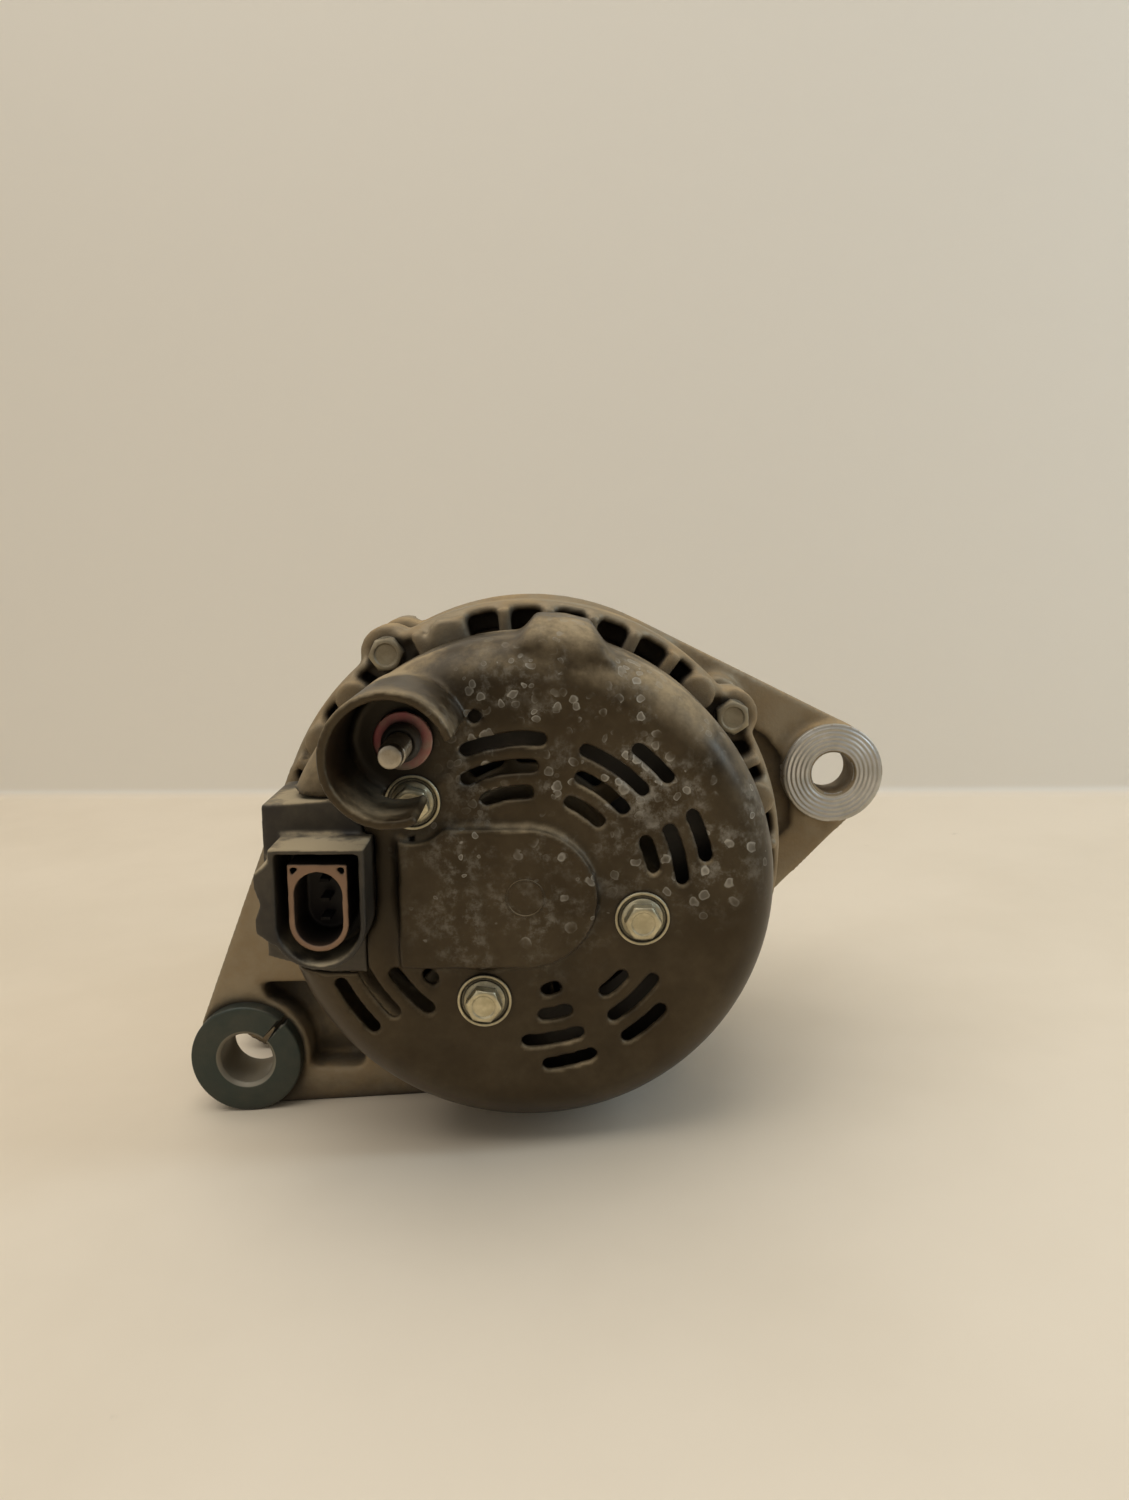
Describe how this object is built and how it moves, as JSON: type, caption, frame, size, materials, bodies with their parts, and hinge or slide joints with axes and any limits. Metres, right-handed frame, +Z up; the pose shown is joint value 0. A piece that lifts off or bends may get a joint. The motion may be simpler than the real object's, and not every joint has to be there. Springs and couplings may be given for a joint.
{
  "type": "car alternator",
  "caption": "Car alternator: two cast frames with pivot and adjuster ears round a stator, a claw-pole rotor with a ribbed pulley, and a slotted rear cover with terminal tube and socket.",
  "frame": {"origin": "on the rotor's axis, in the middle of the pulley's belt track", "axes": "+Y along the rotor's axis from the rear cover to the pulley, +Z up as the alternator lies on its two left ears and its drum, +X right as seen from behind"},
  "size_m": [0.1976, 0.1584, 0.1332],
  "materials": {
    "cover_plastic": "matte moulded, dusty",
    "case_plastic": "matte moulded",
    "terminal_plastic": "matte moulded",
    "liner_plastic": "matte moulded",
    "cast_aluminium": "as cast, dusty",
    "zinc_steel": "yellow zinc plated",
    "stud_steel": "plated, worn",
    "tinted_zinc": "zinc with a red tint",
    "tinned_brass": "tinned",
    "carbon": null,
    "spring_steel": "drawn",
    "diode_metal": "plated",
    "plate_aluminium": "stamped",
    "lamination_steel": "varnished laminations",
    "copper_winding": "enamelled copper",
    "bolt_steel": "plated, worn",
    "bush_steel": "dark green-grey conversion coat",
    "bearing_steel": "ground",
    "plate_steel": "pressed",
    "shaft_steel": "turned",
    "pole_iron": "forged, varnished",
    "pulley_steel": "dark coated"
  },
  "bodies": {
    "housing": {"rear_cover": "cover_plastic", "cover_bolts": "zinc_steel", "cover_eyelets": "zinc_steel", "b_plus_stud": "stud_steel", "b_plus_washer": "tinted_zinc", "b_plus_nut": "terminal_plastic", "b_plus_insulator": "terminal_plastic", "regulator_case": "case_plastic", "connector_liner": "liner_plastic", "connector_pins": "tinned_brass", "brush_holder": "case_plastic", "brush_spring_rear": "spring_steel", "brush_spring_front": "spring_steel", "rectifier_diodes": "diode_metal", "rectifier_plus_plate": "plate_aluminium", "rectifier_minus_plate": "plate_aluminium", "rectifier_terminals": "case_plastic", "rear_housing": "cast_aluminium", "front_housing": "cast_aluminium", "stator_core": "lamination_steel", "stator_winding": "copper_winding", "through_bolts": "bolt_steel", "left_ear_bush": "bush_steel", "rear_bearing_outer": "bearing_steel", "front_bearing_outer": "bearing_steel", "bearing_retainer": "plate_steel", "retainer_screws": "zinc_steel"},
    "rotor": {"rotor_shaft": "shaft_steel", "slip_rings": "copper_winding", "slip_ring_carrier": "case_plastic", "rear_claw_pole": "pole_iron", "front_claw_pole": "pole_iron", "field_coil": "copper_winding", "coil_bobbin": "liner_plastic", "rear_fan": "plate_steel", "front_fan": "plate_steel", "pulley": "pulley_steel", "pulley_nut": "bolt_steel", "spacer_collar": "bolt_steel", "rear_bearing_inner": "bearing_steel", "front_bearing_inner": "bearing_steel"},
    "rear_ball_set": {"rear_bearing_balls": "bearing_steel", "rear_bearing_cage": "bearing_steel"},
    "front_ball_set": {"front_bearing_balls": "bearing_steel", "front_bearing_cage": "bearing_steel"},
    "rear_brush": {"brush_rear": "carbon"},
    "front_brush": {"brush_front": "carbon"}
  },
  "joints": [
    {"name": "rotor_spin", "type": "hinge", "parent": "housing", "child": "rotor", "pos_m": [0, 0, 0], "axis": [0, 1, 0], "continuous": true},
    {"name": "rear_balls_orbit", "type": "hinge", "parent": "housing", "child": "rear_ball_set", "pos_m": [0, 0, 0], "axis": [0, 1, 0], "continuous": true},
    {"name": "front_balls_orbit", "type": "hinge", "parent": "housing", "child": "front_ball_set", "pos_m": [0, 0, 0], "axis": [0, 1, 0], "continuous": true},
    {"name": "rear_brush_slide", "type": "slide", "parent": "housing", "child": "rear_brush", "axis": [-0.9981, 0, 0.0615], "range_m": [0, 0.005], "stiffness_N_per_m": 150, "springref_m": -0.015, "deforming": ["brush_spring_rear"]},
    {"name": "front_brush_slide", "type": "slide", "parent": "housing", "child": "front_brush", "axis": [-0.9981, 0, 0.0615], "range_m": [0, 0.005], "stiffness_N_per_m": 150, "springref_m": -0.015, "deforming": ["brush_spring_front"]}
  ],
  "couplings": [
    {"joint": "rear_balls_orbit", "follows": "rotor_spin", "ratio": 0.3636},
    {"joint": "front_balls_orbit", "follows": "rotor_spin", "ratio": 0.3656}
  ]
}
